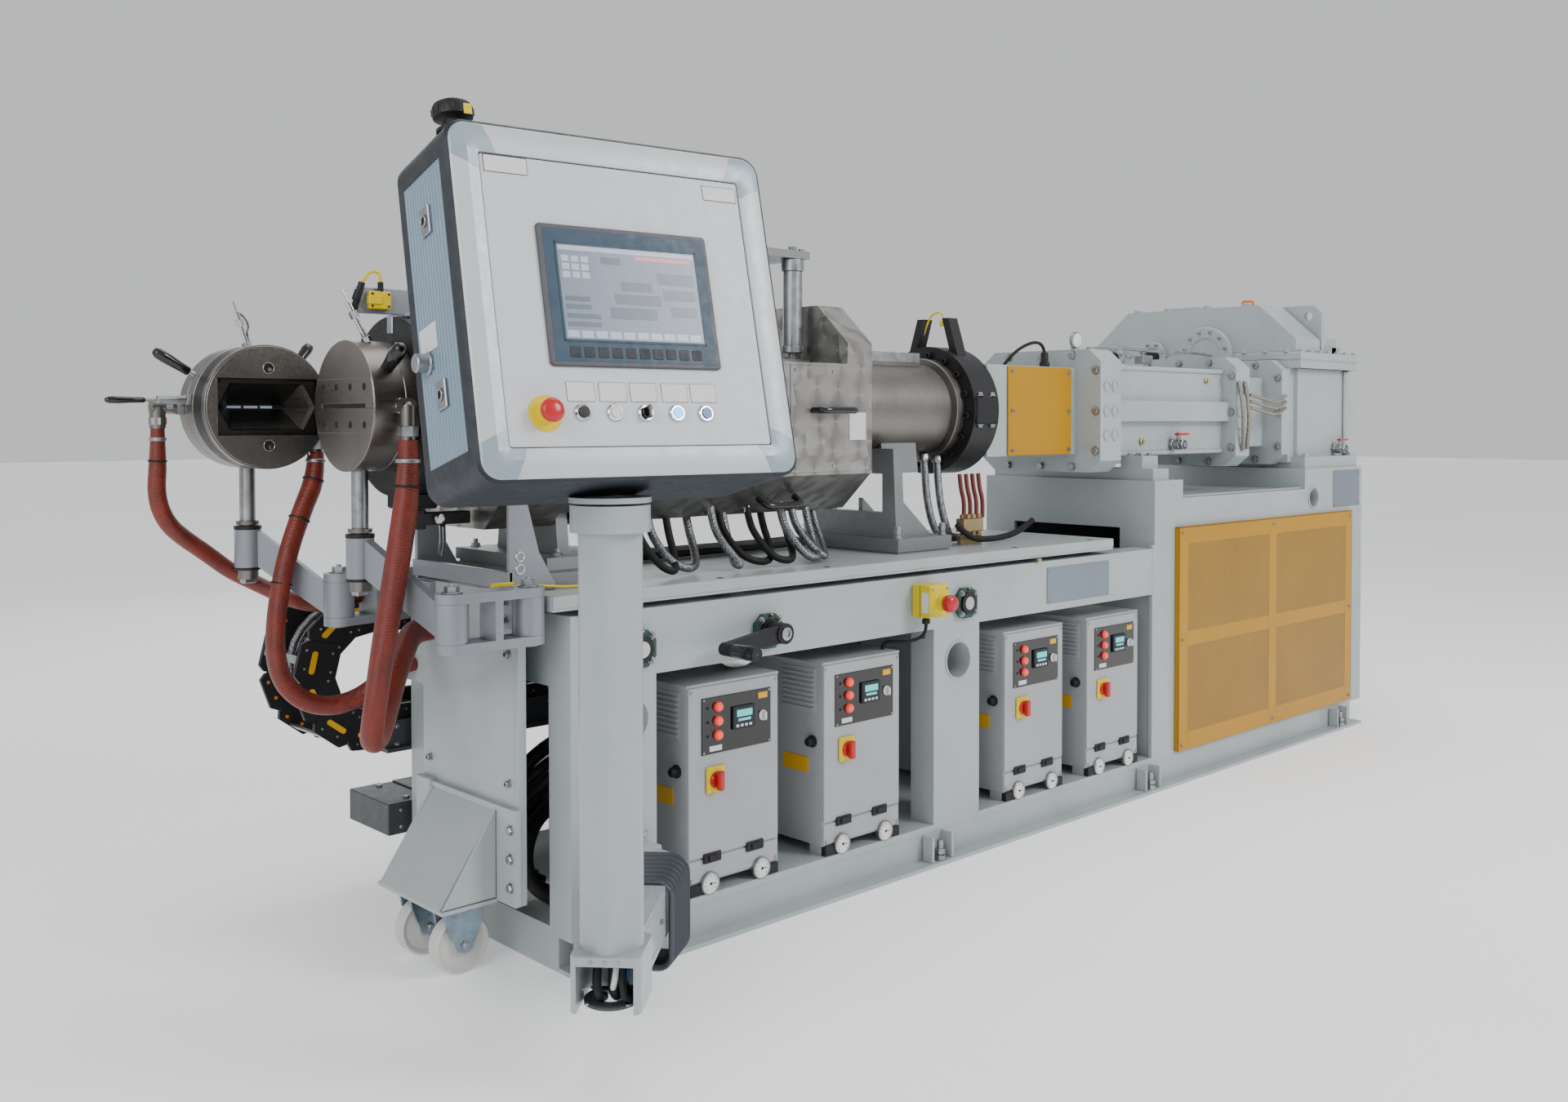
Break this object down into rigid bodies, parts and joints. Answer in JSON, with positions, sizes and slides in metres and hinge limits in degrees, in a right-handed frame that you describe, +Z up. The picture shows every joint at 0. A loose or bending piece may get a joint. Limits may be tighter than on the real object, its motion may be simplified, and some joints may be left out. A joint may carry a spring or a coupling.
{
  "type": "strainer extruder",
  "caption": "Strainer extruder: welded base with drive box and gearbox, sliding barrel carriage, swing-out die and strainer heads, temperature units and a post-mounted panel",
  "frame": {"origin": "centre of the base frame's footprint, on the floor", "axes": "+X along the machine toward the gearbox, +Y from the operator side to the rear, +Z up"},
  "size_m": [4.2997, 1.5111, 1.6985],
  "materials": {
    "frame_silver": "satin",
    "cabinet_grey": "fine texture",
    "guard_yellow": "satin",
    "gear_grey": "gloss",
    "ring_black": "satin",
    "cover_sheet": "brushed",
    "bright_steel": "ground",
    "bearing_green": "painted",
    "crank_black": "matte",
    "stop_yellow": "gloss",
    "valve_zinc": "plated",
    "handle_red": "gloss",
    "wheel_white": "matte",
    "head_steel": "ground",
    "carrier_silver": "satin",
    "boot_rubber": "matte",
    "panel_shell": "satin",
    "screen_glass": "gloss",
    "horn_black": "matte",
    "hose_sleeve": "coated sleeve",
    "cable_black": "matte"
  },
  "bodies": {
    "base": {"sills": "frame_silver", "cross_sills": "frame_silver", "deck_plate": "frame_silver", "pillars": "frame_silver", "upper_beams": "frame_silver", "drive_box_front": "frame_silver", "drive_box_rear": "frame_silver", "drive_box_ends": "frame_silver", "drive_box_lid": "frame_silver", "side_guards": "guard_yellow", "temperature_units": "cabinet_grey", "roller_shafts": "bright_steel", "flange_bearings": "bearing_green", "stop_box": "stop_yellow", "stop_box_cable": "cable_black", "screw": "bright_steel", "thrust_housing": "gear_grey", "drive_flanges": "gear_grey", "coupling_housing": "gear_grey", "adapter_neck": "gear_grey", "gearbox_body": "gear_grey", "gearbox_cover": "gear_grey", "shaft_end_cover": "gear_grey", "drain_valves": "valve_zinc", "arm_hinge_bracket": "frame_silver", "energy_chain": "crank_black", "cable_trough": "crank_black"},
    "carriage": {"sliding_table": "frame_silver", "column": "frame_silver", "caster_bracket": "frame_silver", "barrel": "head_steel", "barrel_feet": "carrier_silver", "front_clamp_ring": "ring_black", "rear_clamp_ring": "ring_black", "barrel_cover": "cover_sheet", "feed_hood": "cover_sheet", "feed_roller_drive": "carrier_silver", "carrier_knuckles": "carrier_silver"},
    "wheel_near": {"caster_wheel_near": "wheel_white"},
    "wheel_far": {"caster_wheel_far": "wheel_white"},
    "near_carrier": {"near_link": "carrier_silver", "near_arm": "carrier_silver", "die_head": "head_steel", "hose_c": "hose_sleeve"},
    "far_carrier": {"far_link": "carrier_silver", "far_arm": "carrier_silver", "strainer_head": "head_steel", "hose_a": "hose_sleeve", "hose_b": "hose_sleeve"},
    "crank": {"drive_roller": "bright_steel", "hand_crank": "crank_black"},
    "panel_support": {"panel_arm": "frame_silver", "panel_post": "frame_silver", "arm_bellows": "boot_rubber"},
    "panel_head": {"panel_enclosure": "panel_shell", "panel_screen": "screen_glass", "panel_beacon": "horn_black"},
    "handle_1": {"valve_handle_1": "handle_red"},
    "handle_2": {"valve_handle_2": "handle_red"}
  },
  "joints": [
    {"name": "carriage_slide", "type": "slide", "parent": "base", "child": "carriage", "axis": [-1, 0, 0], "range_m": [0, 1.2]},
    {"name": "caster_near_roll", "type": "hinge", "parent": "carriage", "child": "wheel_near", "pos_m": [-1.92, -0.128, 0.0628], "axis": [0, 1, 0], "continuous": true},
    {"name": "caster_far_roll", "type": "hinge", "parent": "carriage", "child": "wheel_far", "pos_m": [-1.92, 0.018, 0.0628], "axis": [0, 1, 0], "continuous": true},
    {"name": "near_head_swing", "type": "hinge", "parent": "carriage", "child": "near_carrier", "pos_m": [-1.858, -0.302, 0.761], "axis": [0, 0, 1], "range_deg": [0, 60]},
    {"name": "far_head_swing", "type": "hinge", "parent": "carriage", "child": "far_carrier", "pos_m": [-1.858, 0.2372, 0.761], "axis": [0, 0, -1], "range_deg": [0, 20]},
    {"name": "crank_turn", "type": "hinge", "parent": "base", "child": "crank", "pos_m": [-1.242, -0.336, 0.668], "axis": [0, -1, 0], "continuous": true},
    {"name": "panel_arm_swing", "type": "hinge", "parent": "base", "child": "panel_support", "pos_m": [-1.652, -0.453, 0.187], "axis": [0, 0, 1], "range_deg": [0, 90]},
    {"name": "panel_swivel", "type": "hinge", "parent": "panel_support", "child": "panel_head", "pos_m": [-1.97, -0.741, 1.01], "axis": [0, 0, 1], "range_deg": [-60, 60]},
    {"name": "valve_handle_1_turn", "type": "hinge", "parent": "base", "child": "handle_1", "pos_m": [0.7, -0.236, 1.104], "axis": [0, 0, -1], "range_deg": [0, 90]},
    {"name": "valve_handle_2_turn", "type": "hinge", "parent": "base", "child": "handle_2", "pos_m": [1.735, -0.306, 1.076], "axis": [0, 0, -1], "range_deg": [0, 90]}
  ]
}
